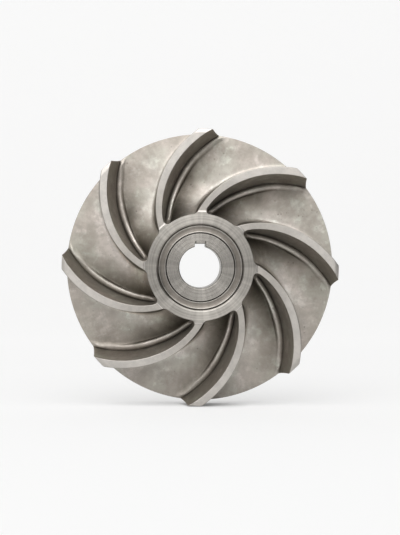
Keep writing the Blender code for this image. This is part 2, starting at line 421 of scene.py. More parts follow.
# %% Outlines of hub and back
LIP = [(31.0, 3.2), (31.03, 2.6), (31.2, 2.0), (31.5, 1.66), (31.8, 1.6), (32.15, 1.62), (32.4, 1.75)]
SUNK_RING = [(32.7, 2.05), (33.0, 2.1), (34.4, 2.1), (36.0, 2.1), (36.25, 2.0)]
RIDGE = [(36.6, 1.42), (36.85, 1.18), (37.15, 1.08), (37.42, 1.12), (37.58, 1.3), (37.72, 2.2)]
GROOVE = [(37.9, 2.5), (38.25, 2.5), (38.5, 2.3), (38.65, 0.95), (38.8, 0.72), (39.5, 0.16), (39.8, 0.03)]
HUB_FACE = [(radius, 0.0) for radius in (40.2, 42.0, 44.0, 46.0, 47.8, 47.95)]
hub_steps = LIP + SUNK_RING + RIDGE + GROOVE + HUB_FACE
hub_outline = [(radius, HUB_FACE_DEPTH + depth) for radius, depth in hub_steps]
hub_edge = [(48.12, -1.13), (48.18, -0.95), (48.19, -0.9)]

BORE_WALL, BOSS_RADIUS, BOSS_END = 31.0, 36.0, 60.8
BACK_CURVE = [(RIM_RADIUS, 37.3), (98.0, 36.4), (82.0, 35.4), (71.0, 33.9), (62.0, 31.6), (54.0, 29.6),
              (47.0, 29.6)]
BACK_STEPS = 25
BOSS_FILLET, FILLET_CENTRE = 6.5, (42.5, 36.1)
given, wanted = np.linspace(0, 1, len(BACK_CURVE)), np.linspace(0, 1, BACK_STEPS)
curve_radii = np.interp(wanted, given, [radius for radius, depth in BACK_CURVE])
curve_depths = np.interp(wanted, given, [depth for radius, depth in BACK_CURVE])
for smoothing in range(6):
    curve_depths[1:-1] = (curve_depths[:-2] + 2.0 * curve_depths[1:-1] + curve_depths[2:]) / 4.0
back_outline = [(RIM_RADIUS, 31.5), (RIM_RADIUS, 34.0), (RIM_RADIUS, 36.6), (121.4, 37.05), (121.1, 37.28)]
back_outline += list(zip(curve_radii[1:], curve_depths[1:]))
for turn in range(-98, -181, -9):
    turn = math.radians(turn)
    back_outline.append((FILLET_CENTRE[0] + BOSS_FILLET * math.cos(turn),
                         FILLET_CENTRE[1] + BOSS_FILLET * math.sin(turn)))
back_outline += [(BOSS_RADIUS, depth) for depth in (42.0, 50.0, 59.5)] + [(35.95, 59.9), (35.1, 60.75)]
back_outline += [(radius, BOSS_END) for radius in (34.8, 33.0, 31.5)] + [(31.1, 60.7)]
back_outline += [(BORE_WALL, depth) for depth in (60.3, 45.0, 25.0, 8.0)]
print("rings: hub", len(hub_outline), "back", len(back_outline))

# %% [markdown]
# ## Weaving the net
#
# Close to the vanes the columns stand where the vanes need them. Away from them, on the hub rings and the
# back, they slide until they are evenly spread. The last ring in the bore then meets the first ring of the
# hub by a shift of whole columns, and the net closes on itself without a seam.

# %% All rows in order
total = columns * VANES
pitch = math.tau / total


def even_angles(first_angle):
    """Evenly spread angles whose first one is the multiple of the pitch nearest to the angle given."""
    start = round(first_angle / pitch)
    return start, [(start + i) * pitch for i in range(columns)]


def ring_rows(outline, near_row, shares):
    """Rows on a round surface, sliding from the angles of near_row to even ones."""
    start, even = even_angles(near_row[columns // 2][1] - pitch * (columns // 2))
    rows = []
    for (radius, depth), share in zip(outline, shares):
        angles = [point[1] + (goal - point[1]) * share for point, goal in zip(near_row, even)]
        rows.append([(radius, angle, depth) for angle in angles])
    return start, rows


hub_shares = [1.0 - blend(30.0, 47.0, radius) for radius, depth in hub_outline]
hub_start, hub_rows = ring_rows(hub_outline, front_rows[0], hub_shares)
levels = [limited((point[2] - HUB_FACE_DEPTH) / -HUB_FACE_DEPTH) for point in front_rows[0]]
edge_rows = [[(radius, point[1], HUB_FACE_DEPTH + (depth - HUB_FACE_DEPTH) * level)
              for point, level in zip(front_rows[0], levels)] for radius, depth in hub_edge]
back_shares = [blend(0.0, len(back_outline) * 0.6, i) for i in range(len(back_outline))]
back_start, back_rows = ring_rows(back_outline, end_rows[-1], back_shares)
all_rows = hub_rows + edge_rows + front_rows + end_rows + back_rows
zones = ["turned"] * len(hub_rows + edge_rows) + ["front"] * len(front_rows)
zones += ["end"] * len(end_rows) + ["back"] * len(back_rows)
plain_tones = [1.0] * columns
all_tones = [plain_tones] * len(hub_rows + edge_rows) + front_tones
all_tones += [plain_tones] * len(end_rows + back_rows)
print("rows from the bore over hub, front, rim and back to the bore:", len(all_rows))

# %% Casting mesh
MM = 0.001
VANE_PLANE = -60.8
MERGE_DISTANCE, SLIVER_LENGTH = 0.000004, 0.000002


def add_object(name, net):
    """Puts a finished net into the scene as a mesh object."""
    mesh = bpy.data.meshes.new(name)
    net.to_mesh(mesh)
    net.free()
    thing = bpy.data.objects.new(name, mesh)
    bpy.context.scene.collection.objects.link(thing)
    return thing


def weave(name, rows, tones, close_shift):
    """Closed net of quads through rows of (radius, angle, depth), repeated for every vane."""
    net = bmesh.new()
    # Each point carries its painted shade and light.
    tone_layer = net.verts.layers.float.new("painted_light")
    rings = []
    for row, row_tone in zip(rows, tones):
        ring = []
        for vane in range(VANES):
            for (radius, angle, depth), painted_light in zip(row, row_tone):
                turn = angle + vane * SECTOR
                x, y, z = radius * math.cos(turn), VANE_PLANE + depth, radius * math.sin(turn)
                point = net.verts.new((x * MM, y * MM, z * MM))
                point[tone_layer] = painted_light
                ring.append(point)
        rings.append(ring)
    row_layer = net.faces.layers.int.new("row")
    column_layer = net.faces.layers.int.new("column")
    for r in range(len(rings)):
        inner, outer = rings[r], rings[(r + 1) % len(rings)]
        shift = close_shift if r == len(rings) - 1 else 0
        for i in range(total):
            j = (i + 1) % total
            quad = (inner[i], inner[j], outer[(j + shift) % total], outer[(i + shift) % total])
            face = net.faces.new(quad)
            face[row_layer], face[column_layer] = r, i % columns
    bmesh.ops.remove_doubles(net, verts=net.verts[:], dist=MERGE_DISTANCE)
    bmesh.ops.dissolve_degenerate(net, edges=net.edges[:], dist=SLIVER_LENGTH)
    bmesh.ops.recalc_face_normals(net, faces=net.faces[:])
    return add_object(name, net)


casting = weave("cast_body", all_rows, all_tones, (back_start - hub_start) % total)
print("casting:", len(casting.data.vertices), "points,", len(casting.data.polygons), "faces")

# %% [markdown]
# ## The bush
#
# The bush is a turned ring with a keyway. Its rings follow the outline of bore and keyway, grown a little
# more for each step of the chamfer, and then open out into circles. The keyway could be cut with a Boolean,
# but grown outlines keep the chamfer even round the corners. The outside is thinner at both ends, which
# leaves a dark hairline round the bush, and fits closely between them, so that no light comes through from
# behind.

# %% Outline of bore and keyway
BORE_RADIUS, KEYWAY_HALF_WIDTH, KEYWAY_TOP = 19.0, 5.0, 21.4
ROUND_POINTS, SIDE_POINTS, TOP_POINTS = 216, 5, 12


def bore_outline(grow):
    """Bore and keyway grown outwards, as (x, z) points that start at the right side of the keyway."""
    radius, half, top = BORE_RADIUS + grow, KEYWAY_HALF_WIDTH + 0.3 * grow, KEYWAY_TOP + grow
    corner = math.acos(half / radius)
    low = radius * math.sin(corner)
    points = [(half - 2.0 * half * i / TOP_POINTS, top) for i in range(TOP_POINTS)]
    points += [(-half, top + (low - top) * i / SIDE_POINTS) for i in range(SIDE_POINTS)]
    for i in range(ROUND_POINTS):
        turn = math.pi - corner + (math.pi + 2.0 * corner) * i / ROUND_POINTS
        points.append((radius * math.cos(turn), radius * math.sin(turn)))
    points += [(half, low + (top - low) * i / SIDE_POINTS) for i in range(SIDE_POINTS)]
    return points


print("points in the outline of the bore:", len(bore_outline(0.0)))

# %% Rings of the bush
def opened(points, radius, share):
    """The outline opened out towards a circle."""
    moved = []
    for x, z in points:
        length = math.hypot(x, z)
        goal = length + (radius - length) * share
        moved.append((x * goal / length, z * goal / length))
    return moved


BUSH_FRONT = -60.2
FACE_EDGE, BACK_EDGE, THIN_RADIUS, FIT_RADIUS = 30.35, 30.3, 30.7, 30.97
chamfered = bore_outline(0.65)
bush_rings = [(bore_outline(0.0), y) for y in (-1.3, -20.0, -40.0, BUSH_FRONT + 0.75)]
bush_rings += [(bore_outline(0.05), BUSH_FRONT + 0.62), (bore_outline(0.55), BUSH_FRONT + 0.05)]
bush_rings += [(chamfered, BUSH_FRONT)]
bush_rings += [(opened(chamfered, FACE_EDGE, share), BUSH_FRONT)
               for share in (0.03, 0.2, 0.4, 0.6, 0.8, 0.98, 1.0)]
outside = [(30.5, BUSH_FRONT + 0.1), (30.65, BUSH_FRONT + 0.5)]
outside += [(THIN_RADIUS, y) for y in (BUSH_FRONT + 0.9, -56.0)]
outside += [(FIT_RADIUS, y) for y in (-54.0, -20.0, -5.0)]
outside += [(THIN_RADIUS, y) for y in (-3.0, -0.4)]
bush_rings += [(opened(chamfered, radius, 1.0), y) for radius, y in outside]
bush_rings += [(opened(chamfered, BACK_EDGE, share), 0.0) for share in (1.0, 0.6, 0.2, 0.0)]
print("rings of the bush:", len(bush_rings))

# %% Bush mesh
SHARP_FROM = math.radians(34.0)


def weave_rings(name, rings):
    """Closed net through rings of ((x, z) points, y)."""
    net = bmesh.new()
    made = [[net.verts.new((x * MM, y * MM, z * MM)) for x, z in points] for points, y in rings]
    count = len(made[0])
    for r in range(len(made)):
        inner, outer = made[r], made[(r + 1) % len(made)]
        for i in range(count):
            j = (i + 1) % count
            net.faces.new((inner[i], inner[j], outer[j], outer[i]))
    bmesh.ops.remove_doubles(net, verts=net.verts[:], dist=SLIVER_LENGTH)
    bmesh.ops.recalc_face_normals(net, faces=net.faces[:])
    return add_object(name, net)


bush = weave_rings("keyed_bush_turned", bush_rings)
for thing in (casting, bush):
    thing.data.shade_smooth()
    thing.data.set_sharp_from_angle(angle=SHARP_FROM)
print("bush:", len(bush.data.polygons), "faces")

# %% [markdown]
# Two small drill marks stand above the corners of the keyway. They are cut with a Boolean, since they are
# the only places where the bush isn't one net.

# %% Marks above the keyway
MARK_RADIUS, MARK_LENGTH = 0.62 * MM, 3.0 * MM
MARK_SIDES, MARK_HEIGHT = (-4.3, 4.6), 22.75
net = bmesh.new()
for x in MARK_SIDES:
    spot = Matrix.Translation((x * MM, BUSH_FRONT * MM, MARK_HEIGHT * MM))
    bmesh.ops.create_cone(net, cap_ends=True, segments=20, radius1=MARK_RADIUS, radius2=MARK_RADIUS,
                          depth=MARK_LENGTH, matrix=spot @ Matrix.Rotation(math.pi / 2, 4, "X"))
drills = add_object("drill_marks", net)
cut = bush.modifiers.new("drill_marks", "BOOLEAN")
cut.operation, cut.solver, cut.object = "DIFFERENCE", "EXACT", drills
shaped = bpy.data.meshes.new_from_object(bush.evaluated_get(bpy.context.evaluated_depsgraph_get()))
bush.modifiers.clear()
bush.data = shaped
bpy.data.objects.remove(drills)
print("bush with marks:", len(bush.data.polygons), "faces")

# %% [markdown]
# ## Effects that several finishes share
#
# Each effect is a node group with named inputs, built once. A group only works out numbers and colours over
# the surface. The shader stays in each material, where its own values are set.

# %% Helpers for node groups
def new_group(name, inputs, outputs):
    """Node group with float inputs as {name: default} and outputs as {name: socket type}."""
    group = bpy.data.node_groups.new(name, "ShaderNodeTree")
    for label, default in inputs.items():
        socket = group.interface.new_socket(label, in_out="INPUT", socket_type="NodeSocketFloat")
        socket.default_value = default
    for label, kind in outputs.items():
        group.interface.new_socket(label, in_out="OUTPUT", socket_type=kind)
    return group, group.nodes.new("NodeGroupInput"), group.nodes.new("NodeGroupOutput")


def maths(tree, operation, *values):
    """Math node whose inputs are sockets or plain numbers."""
    node = tree.nodes.new("ShaderNodeMath")
    node.operation = operation
    for slot, value in zip(node.inputs, values):
        if isinstance(value, bpy.types.NodeSocket):
            tree.links.new(value, slot)
        else:
            slot.default_value = value
    return node.outputs[0]


def ramp(tree, value, low, high, smooth=True):
    """Stretches the part of a value between low and high to the range from 0 to 1."""
    node = tree.nodes.new("ShaderNodeMapRange")
    node.interpolation_type = "SMOOTHSTEP" if smooth else "LINEAR"
    tree.links.new(value, node.inputs["Value"])
    node.inputs["From Min"].default_value, node.inputs["From Max"].default_value = low, high
    return node.outputs["Result"]


def noise(tree, scale, detail=3.0, roughness=0.5, vector=None, dimensions="3D"):
    """Noise over the object's own coordinates, or along the value given for one dimension."""
    node = tree.nodes.new("ShaderNodeTexNoise")
    node.noise_dimensions = dimensions
    node.inputs["Detail"].default_value, node.inputs["Roughness"].default_value = detail, roughness
    if isinstance(scale, bpy.types.NodeSocket):
        tree.links.new(scale, node.inputs["Scale"])
    else:
        node.inputs["Scale"].default_value = scale
    if vector is None:
        vector = tree.nodes.new("ShaderNodeTexCoord").outputs["Object"]
    tree.links.new(vector, node.inputs["W" if dimensions == "1D" else "Vector"])
    return node.outputs["Fac"]


def times(tree, first, second):
    return maths(tree, "MULTIPLY", first, second)


def plus(tree, first, second):
    return maths(tree, "ADD", first, second)


print("helpers are ready, groups so far:", len(bpy.data.node_groups))

# %% [markdown]
# Blasted stainless isn't one grey. Heat and handling leave cloudy patches a few millimetres to a few
# centimetres wide, some a little pink, some a little green, with soft darker clouds among them. Two noises
# of different size give the clouds, and a third chooses the tint.

# %% Clouds in the colour
clouds, clouds_in, clouds_out = new_group(
    "metal_clouds", {"Scale": 60.0},
    {"Cloud": "NodeSocketFloat", "Tint": "NodeSocketFloat", "Stain": "NodeSocketFloat"})
scale = clouds_in.outputs["Scale"]
broad = noise(clouds, scale, 4.0, 0.6)
fine = noise(clouds, times(clouds, scale, 4.1), 5.0, 0.65)
mixed = plus(clouds, times(clouds, broad, 0.62), times(clouds, fine, 0.38))
clouds.links.new(ramp(clouds, mixed, 0.36, 0.64), clouds_out.inputs["Cloud"])
tint = noise(clouds, times(clouds, scale, 0.7), 2.0, 0.5)
clouds.links.new(ramp(clouds, tint, 0.38, 0.62), clouds_out.inputs["Tint"])
patches = noise(clouds, times(clouds, scale, 0.9), 8.0, 0.62)
edges = maths(clouds, "PINGPONG", times(clouds, patches, 3.0), 0.5)
clouds.links.new(ramp(clouds, edges, 0.12, 0.34), clouds_out.inputs["Stain"])
print("group:", clouds.name)

# %% [markdown]
# Shot blasting leaves a fine even grain, and the casting has a few small pits besides. The grain is a
# height for a Bump node. The pits are cells of a Voronoi pattern, kept only where a second noise allows
# them, so that they come in loose clusters.

# %% Grain and pits
grain, grain_in, grain_out = new_group(
    "blasted_grain", {"Grain Scale": 1500.0, "Pit Scale": 260.0, "Pit Share": 0.5},
    {"Height": "NodeSocketFloat", "Pits": "NodeSocketFloat"})
cells = grain.nodes.new("ShaderNodeTexVoronoi")
grain.links.new(grain.nodes.new("ShaderNodeTexCoord").outputs["Object"], cells.inputs["Vector"])
grain.links.new(grain_in.outputs["Pit Scale"], cells.inputs["Scale"])
spots = maths(grain, "SUBTRACT", 1.0, ramp(grain, cells.outputs["Distance"], 0.05, 0.3))
allowed = ramp(grain, noise(grain, 90.0, 2.0), 0.5, 0.62)
chosen = maths(grain, "GREATER_THAN", noise(grain, grain_in.outputs["Pit Scale"], 0.0),
               maths(grain, "SUBTRACT", 1.0, grain_in.outputs["Pit Share"]))
pits = times(grain, times(grain, spots, allowed), chosen)
fine, coarse = noise(grain, grain_in.outputs["Grain Scale"], 3.0, 0.6), noise(grain, 320.0, 3.0, 0.55)
rough_skin = plus(grain, fine, times(grain, coarse, 1.6))
grain.links.new(maths(grain, "SUBTRACT", rough_skin, times(grain, pits, 1.8)), grain_out.inputs["Height"])
grain.links.new(pits, grain_out.inputs["Pits"])
print("group:", grain.name)

# %% [markdown]
# A lathe tool leaves rings that repeat with its feed and vary from pass to pass. They depend only on the
# distance from the axis, so the group turns the position into a radius first and runs a one-dimensional
# noise along it. The position along the axis is added to that radius, which rings the cylinders too. A third
# output changes only with the angle; mixed into the colour, it gives a painted sheen, the faint fans that
# turned faces show.

# %% Turning marks
turning, turning_in, turning_out = new_group(
    "turning_marks", {"Fine Scale": 3200.0, "Band Scale": 620.0},
    {"Rings": "NodeSocketFloat", "Bands": "NodeSocketFloat", "Painted Sheen": "NodeSocketFloat"})
spot = turning.nodes.new("ShaderNodeSeparateXYZ")
turning.links.new(turning.nodes.new("ShaderNodeTexCoord").outputs["Object"], spot.inputs[0])
squares = plus(turning, maths(turning, "POWER", spot.outputs["X"], 2.0),
               maths(turning, "POWER", spot.outputs["Z"], 2.0))
from_axis = maths(turning, "SQRT", squares)
along = plus(turning, from_axis, spot.outputs["Y"])
rings = noise(turning, turning_in.outputs["Fine Scale"], 2.0, 0.6, along, "1D")
turning.links.new(rings, turning_out.inputs["Rings"])
bands = noise(turning, turning_in.outputs["Band Scale"], 3.0, 0.6, along, "1D")
turning.links.new(ramp(turning, bands, 0.35, 0.65), turning_out.inputs["Bands"])
heading = turning.nodes.new("ShaderNodeCombineXYZ")
for label in ("X", "Z"):
    turning.links.new(maths(turning, "DIVIDE", spot.outputs[label], from_axis), heading.inputs[label])
sheen_rays = noise(turning, 5.0, 5.0, 0.65, heading.outputs[0])
turning.links.new(ramp(turning, sheen_rays, 0.4, 0.6), turning_out.inputs["Painted Sheen"])
print("group:", turning.name)

# %% [markdown]
# Darkening where two surfaces meet is partly soot and old polish that collect there and partly painted
# shade. The Ambient Occlusion node measures how closed a place is, and the group turns that into a mask with
# a soft, broken border.

# %% Dirt and painted shade in the corners
dirt_and_shade, dirt_and_shade_in, dirt_and_shade_out = new_group("corner_dirt_and_shade", {"Reach": 0.012}, {"Mask": "NodeSocketFloat"})
hollow_places = dirt_and_shade.nodes.new("ShaderNodeAmbientOcclusion")
hollow_places.samples = 6
dirt_and_shade.links.new(dirt_and_shade_in.outputs["Reach"], hollow_places.inputs["Distance"])
closed_in = maths(dirt_and_shade, "SUBTRACT", 1.0, hollow_places.outputs["AO"])
uneven = times(dirt_and_shade, maths(dirt_and_shade, "SUBTRACT", noise(dirt_and_shade, 160.0, 4.0), 0.5), 0.25)
broken = plus(dirt_and_shade, closed_in, uneven)
dirt_and_shade.links.new(ramp(dirt_and_shade, broken, 0.2, 0.85), dirt_and_shade_out.inputs["Mask"])
print("group:", dirt_and_shade.name)

# %% [markdown]
# ## The finishes
#
# Each finish mixes two or three close colours by the masks above. The differences are small on purpose: the
# eye reads metal from how it mirrors its surroundings, and a colour that varies too much looks painted.

# %% Helpers for materials
def new_material(name):
    """Material with its node tree and its Principled BSDF."""
    surface = bpy.data.materials.new(name)
    surface.use_nodes = True
    tree = surface.node_tree
    return surface, tree, tree.nodes["Principled BSDF"]


def use_group(tree, group, **values):
    """Places a group and sets its inputs; an underscore stands for the blank in an input's name."""
    node = tree.nodes.new("ShaderNodeGroup")
    node.node_tree = group
    for label, value in values.items():
        node.inputs[label.replace("_", " ")].default_value = value
    return node.outputs


def mix_colours(tree, share, first, second):
    """Mix node between two colours or colour sockets."""
    node = tree.nodes.new("ShaderNodeMix")
    node.data_type = "RGBA"
    tree.links.new(share, node.inputs["Factor"])
    for label, value in (("A", first), ("B", second)):
        socket = next(s for s in node.inputs if s.name == label and s.type == "RGBA")
        if isinstance(value, bpy.types.NodeSocket):
            tree.links.new(value, socket)
        else:
            socket.default_value = (*value, 1.0)
    return next(s for s in node.outputs if s.type == "RGBA")


def by_tone(tree, colour):
    """The colour scaled by the painted shade and light that the net carries, browner where it is painted
    dark.
    """
    painted_light = tree.nodes.new("ShaderNodeAttribute")
    painted_light.attribute_name = "painted_light"
    scales = tree.nodes.new("ShaderNodeCombineXYZ")
    for channel, power in enumerate((1.0, 1.03, 1.1)):
        tree.links.new(maths(tree, "POWER", painted_light.outputs["Fac"], power), scales.inputs[channel])
    node = tree.nodes.new("ShaderNodeVectorMath")
    node.operation = "MULTIPLY"
    tree.links.new(colour, node.inputs[0])
    tree.links.new(scales.outputs[0], node.inputs[1])
    return node.outputs["Vector"]


def add_bump(tree, shader, height, strength, distance):
    """Feeds the Normal of the shader from a height; the distance is in metres."""
    node = tree.nodes.new("ShaderNodeBump")
    node.inputs["Strength"].default_value, node.inputs["Distance"].default_value = strength, distance
    tree.links.new(height, node.inputs["Height"])
    tree.links.new(node.outputs["Normal"], shader.inputs["Normal"])


print("groups to choose from:", [group.name for group in bpy.data.node_groups])

# %% [markdown]
# The blasted skin covers floor, walls and bead. It is a rough metal, warm grey, with the clouds, pits, dirt
# with painted shade in the corners and painted shade in the deep pockets in its colour, and the grain in its
# bump. The back has the same skin with fainter clouds, since no flow has polished it.

# %% Blasted casting
def blasted_skin(name, patches):
    """Blasted metal; patches says how far its light and dark clouds differ."""
    surface, tree, shader = new_material(name)
    cloud = use_group(tree, clouds, Scale=55.0)
    skin = use_group(tree, grain)
    corner = use_group(tree, dirt_and_shade)
    pocket_shade = use_group(tree, dirt_and_shade, Reach=0.05)
    warm = mix_colours(tree, cloud["Tint"], (0.73, 0.665, 0.613), (0.685, 0.685, 0.608))
    light = plus(tree, times(tree, cloud["Cloud"], patches), 0.5 - 0.5 * patches)
    base = mix_colours(tree, light, (0.47, 0.435, 0.39), warm)
    base = mix_colours(tree, times(tree, cloud["Stain"], 0.5 * patches), base, (0.435, 0.39, 0.34))
    base = mix_colours(tree, times(tree, skin["Pits"], 0.6), base, (0.16, 0.145, 0.125))
    # Painted shade: the wide reach darkens the deep, closed parts of the passages.
    base = mix_colours(tree, times(tree, pocket_shade["Mask"], 0.75), base, (0.25, 0.232, 0.208))
    # Dirt and painted shade in the corners.
    base = mix_colours(tree, times(tree, corner["Mask"], 0.5), base, (0.2, 0.18, 0.155))
    tree.links.new(by_tone(tree, base), shader.inputs["Base Color"])
    shader.inputs["Metallic"].default_value = 1.0
    rough = plus(tree, times(tree, cloud["Cloud"], -0.06), 0.56)
    tree.links.new(plus(tree, rough, times(tree, corner["Mask"], 0.15)), shader.inputs["Roughness"])
    add_bump(tree, shader, skin["Height"], 0.45, 0.00012)
    return surface


cast_skin = blasted_skin("blasted_skin", patches=1.0)
cast_back = blasted_skin("blasted_back", patches=0.5)
print("finishes:", cast_skin.name, cast_back.name)

# %% [markdown]
# The vane faces were ground flat after casting. They are lighter and smoother than the skin round them,
# with faint marks of the wheel.

# %% Ground vane faces
ground, tree, shader = new_material("ground_faces")
cloud = use_group(tree, clouds, Scale=95.0)
marks = use_group(tree, turning, Fine_Scale=1500.0, Band_Scale=160.0)
base = mix_colours(tree, cloud["Cloud"], (0.51, 0.482, 0.445), (0.6, 0.565, 0.52))
tree.links.new(by_tone(tree, base), shader.inputs["Base Color"])
shader.inputs["Metallic"].default_value = 1.0
tree.links.new(plus(tree, times(tree, marks["Bands"], 0.06), 0.36), shader.inputs["Roughness"])
add_bump(tree, shader, marks["Rings"], 0.12, 0.00006)
print("finish:", ground.name)

# %% [markdown]
# Hub face, ridge and rim came off a lathe. Their shine stretches across the tool marks, which the shader's
# anisotropy gives once its tangent runs round the axis. The sunk ring is darker, and the bush is finer
# turned, so its bands differ less.

# %% Turned hub
def turned_metal(name, dark, light, rough, spread, ring_strength, banding=0.45):
    """Lathe-turned metal between two colours; spread is how far the bands vary the roughness."""
    surface, tree, shader = new_material(name)
    marks = use_group(tree, turning)
    cloud = use_group(tree, clouds, Scale=70.0)
    # Painted sheen: the fans from the angle are mixed into the colour with the clouds.
    mottle_and_sheen = plus(tree, times(tree, cloud["Cloud"], 0.15), times(tree, marks["Painted Sheen"], 0.4))
    base = mix_colours(tree, plus(tree, times(tree, marks["Bands"], banding), mottle_and_sheen), dark, light)
    # Dirt and painted shade, near black, in the narrow grooves and corners of the turned rings.
    corner = use_group(tree, dirt_and_shade, Reach=0.0022)
    base = mix_colours(tree, times(tree, corner["Mask"], 0.9), base, (0.05, 0.043, 0.036))
    tree.links.new(base, shader.inputs["Base Color"])
    shader.inputs["Metallic"].default_value = 1.0
    tree.links.new(plus(tree, times(tree, marks["Bands"], spread), rough), shader.inputs["Roughness"])
    shader.inputs["Anisotropic"].default_value = 0.7
    shader.inputs["Anisotropic Rotation"].default_value = 0.25
    round_the_axis = tree.nodes.new("ShaderNodeTangent")
    round_the_axis.direction_type, round_the_axis.axis = "RADIAL", "Y"
    tree.links.new(round_the_axis.outputs["Tangent"], shader.inputs["Tangent"])
    add_bump(tree, shader, marks["Rings"], ring_strength, 0.00005)
    return surface


turned_hub = turned_metal("turned_hub", (0.305, 0.287, 0.26), (0.57, 0.538, 0.491),
                          rough=0.3, spread=0.1, ring_strength=0.3)
turned_recess = turned_metal("turned_recess", (0.235, 0.212, 0.186), (0.33, 0.3, 0.267),
                             rough=0.34, spread=0.1, ring_strength=0.25)
turned_bush = turned_metal("turned_bush", (0.305, 0.287, 0.262), (0.56, 0.529, 0.485),
                           rough=0.25, spread=0.06, ring_strength=0.12, banding=0.15)
print("turned finishes:", turned_hub.name, turned_recess.name, turned_bush.name)

# %% [markdown]
# The hairline round the bush and the two drill marks get painted shade: they are deep and narrow, and a
# metal would flash there, because it is seen at a grazing angle, so this finish is dull and dark instead.

# %% Painted shade in the seam
painted_shade_seam, tree, shader = new_material("painted_shade_seam")
cloud = use_group(tree, clouds, Scale=200.0)
base = mix_colours(tree, cloud["Cloud"], (0.035, 0.03, 0.026), (0.065, 0.057, 0.049))
tree.links.new(base, shader.inputs["Base Color"])
tree.links.new(plus(tree, times(tree, cloud["Cloud"], -0.1), 0.9), shader.inputs["Roughness"])
shader.inputs["Specular IOR Level"].default_value = 0.15
print("finish:", painted_shade_seam.name)

# %% [markdown]
# The bush has two finishes: the dark seam goes into the drill marks and on its outside, the turned one on
# the rest. Where a face lies and which way it looks tell them apart.

# %% Finishes of the bush
TURNED_BUSH, BUSH_SEAM = 0, 1
MARK_DISTANCE, MARK_SPREAD = 23.2, 1.2


def from_axis_mm(face):
    return math.hypot(face.center.x, face.center.z) / MM


def in_drill_mark(face):
    """True for the walls of the two marks and for their flat ends inside the bush."""
    near_marks = abs(from_axis_mm(face) - MARK_DISTANCE) < MARK_SPREAD and face.center.z > 22.2 * MM
    below_front = face.center.y > (BUSH_FRONT + 1.4) * MM
    return near_marks and face.normal.y > -0.9 or below_front and face.normal.y < -0.9


def on_outside(face):
    """True outside the front ring, on all that doesn't look straight to the front."""
    return from_axis_mm(face) > FACE_EDGE + 0.02 and face.normal.y > -0.99


for surface in (turned_bush, painted_shade_seam):
    bush.data.materials.append(surface)
for face in bush.data.polygons:
    face.material_index = BUSH_SEAM if on_outside(face) or in_drill_mark(face) else TURNED_BUSH
print("dark faces of the bush:", sum(face.material_index for face in bush.data.polygons))

# %% [markdown]
# The casting's net remembers the row and column of each face, so each finish goes on by place: ground on
# the vane faces and their roundings, turned on the hub rings, the rim and the rear end, the sunk ring a
# little darker. Both meshes then take the places of their solids.

# %% Finishes of the casting
SKIN, GROUND, TURNED, RECESS, SEAM, BACK = range(6)
EDGE_COLUMNS = 3
SEAM_END = 31.4
# The second span is the narrow groove outside the ridge, where the darker finish is painted shade.
RECESS_SPANS = ((32.4, 36.2), (37.5, 38.6))
for surface in (cast_skin, ground, turned_hub, turned_recess, painted_shade_seam, cast_back):
    casting.data.materials.append(surface)
rows_of = np.zeros(len(casting.data.polygons), np.int32)
columns_of = np.zeros(len(casting.data.polygons), np.int32)
casting.data.attributes["row"].data.foreach_get("value", rows_of)
casting.data.attributes["column"].data.foreach_get("value", columns_of)
last_face = max(i for i in range(first_wall) if kinds[i] in ("face", "edge"))


def finish_at(row, column):
    """Number of the finish for a face of the casting."""
    zone, radius = zones[row], all_rows[row][0][0]
    if zone == "turned":
        if radius < SEAM_END:
            return SEAM
        return RECESS if any(low <= radius < high for low, high in RECESS_SPANS) else TURNED
    if zone == "front" and (column < last_face or column >= columns - EDGE_COLUMNS):
        return TURNED if radius < PAD_RADIUS - 0.1 else GROUND
    if zone == "end" and column in on_vane:
        return GROUND
    if zone == "back":
        return TURNED if radius > RIM_RADIUS - 0.5 or radius < BOSS_RADIUS + 0.3 else BACK
    return SKIN


slots = np.array([finish_at(row, column) for row, column in zip(rows_of, columns_of)], np.int32)
casting.data.polygons.foreach_set("material_index", slots)
for label in ("row", "column"):
    casting.data.attributes.remove(casting.data.attributes[label])
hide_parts("impeller_casting")
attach(casting, "root")
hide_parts("keyed_bush")
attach(bush, "root")
print("faces by finish:", np.bincount(slots).tolist())

# %% [markdown]
# ## Floor, light and camera
#
# The part stands on one vane tip on a plain white table in front of a white wall. A wide sheet that curves
# up behind the part gives both without a line between them. Most of its white is a glow of its own, which
# keeps the wide shadows pale. The Ambient Occlusion node dims that glow close to the part, a painted contact
# shadow where the shadow is deepest.

# %% White sheet
TABLE_LEVEL = -0.1252
SHEET_SIDE, TABLE_FRONT, BEND_START, BEND, WALL_HEIGHT = 4.0, -3.0, 1.2, 0.8, 3.5


def white_sheet():
    """Table and wall in one strip, as (y, z) points from the front to the top of the wall."""
    outline = [(TABLE_FRONT, 0.0), (BEND_START, 0.0)]
    for turn in range(10, 91, 10):
        turn = math.radians(turn)
        outline.append((BEND_START + BEND * math.sin(turn), BEND - BEND * math.cos(turn)))
    outline.append((BEND_START + BEND, WALL_HEIGHT))
    net = bmesh.new()
    rows = [[net.verts.new((x, y, z + TABLE_LEVEL)) for x in (-SHEET_SIDE, SHEET_SIDE)] for y, z in outline]
    for near, far in zip(rows, rows[1:]):
        net.faces.new((near[0], near[1], far[1], far[0]))
    thing = add_object("white_sheet", net)
    thing.data.shade_smooth()
    return thing


sheet = white_sheet()
print("sheet:", len(sheet.data.polygons), "faces")

# %% White paper
SEEN_GLOW, SEEN_RISE = 0.538, 0.13
MIRRORED_GLOW, MIRRORED_RISE = 0.24, 0.3
SHADE_REACH, SHADE_POWER = 0.03, 0.8


